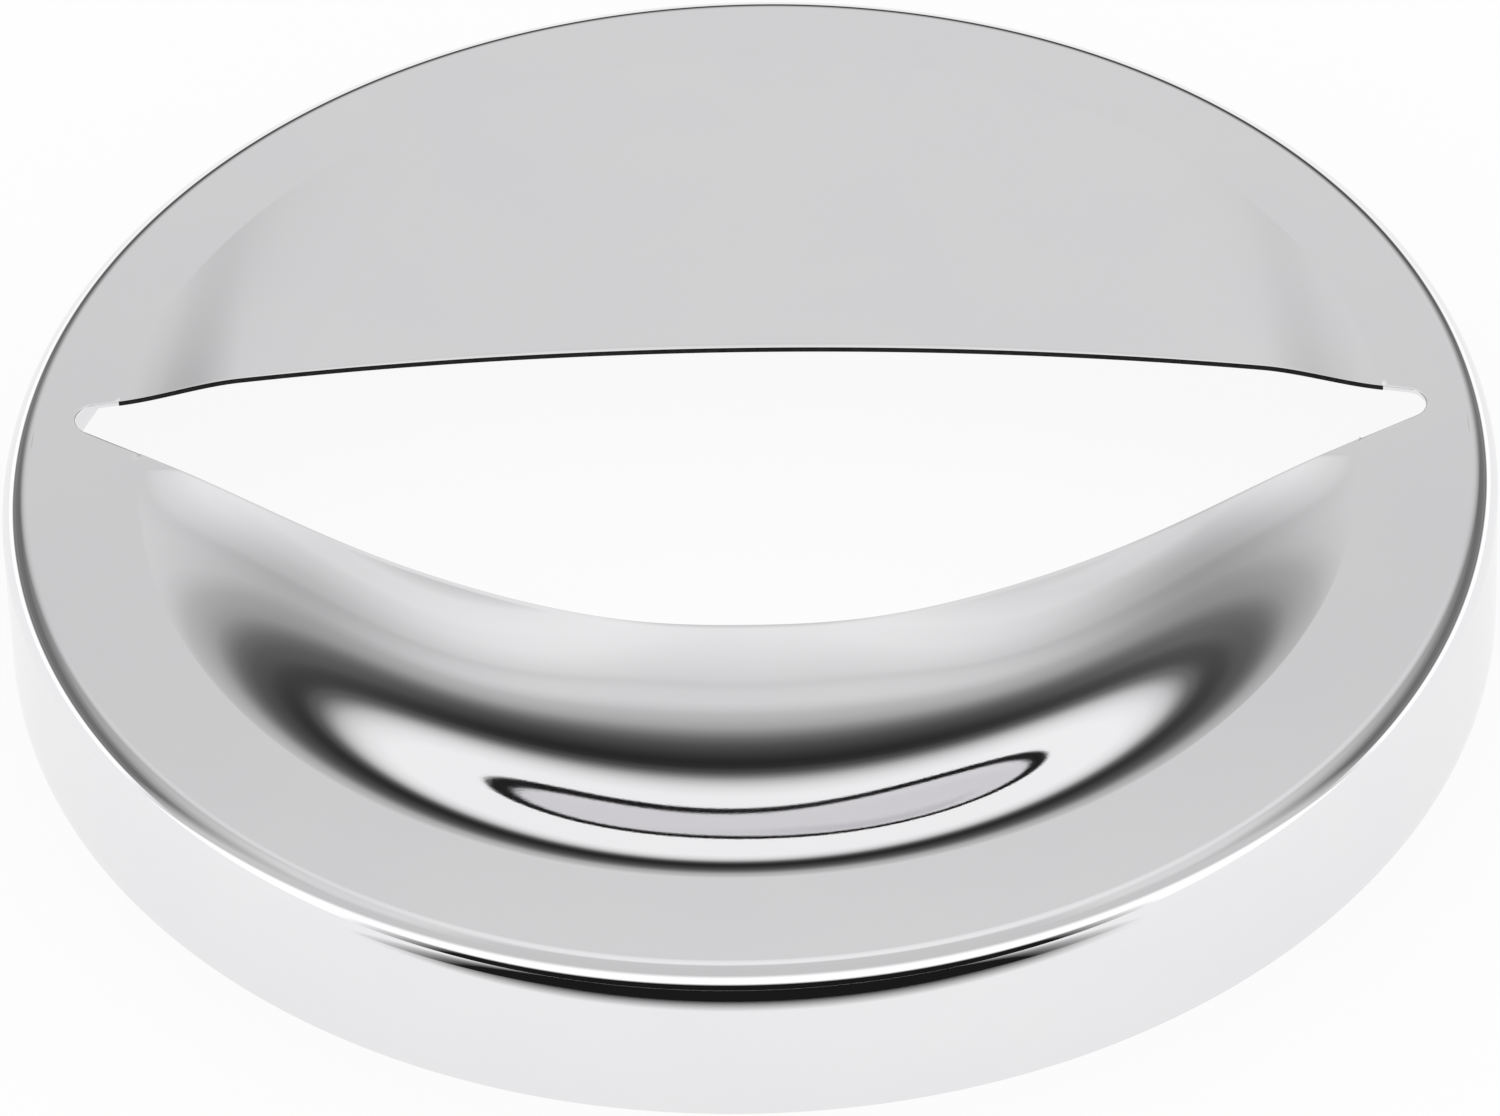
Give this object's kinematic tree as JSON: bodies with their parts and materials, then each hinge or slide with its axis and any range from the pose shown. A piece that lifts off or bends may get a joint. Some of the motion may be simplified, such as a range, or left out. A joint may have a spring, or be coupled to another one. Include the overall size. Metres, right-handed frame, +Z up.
{
  "type": "lid with throw-in mouth",
  "caption": "Round polished-steel lift-off lid with a pressed scoop, a slightly raised rear panel and a lens-shaped throw-in mouth between them.",
  "frame": {"origin": "centre of the skirt's lower edge, in the plane that the lid stands on", "axes": "+Z up through the middle of the lid, +Y towards the raised rear panel, -Y towards the scoop, +X to the right seen from the scoop's side"},
  "size_m": [0.13, 0.13, 0.0166],
  "materials": {
    "polished_steel": "polished"
  },
  "bodies": {
    "root": {"skirt": "polished_steel", "top_ring": "polished_steel", "scoop": "polished_steel", "rear_panel": "polished_steel"}
  },
  "joints": []
}
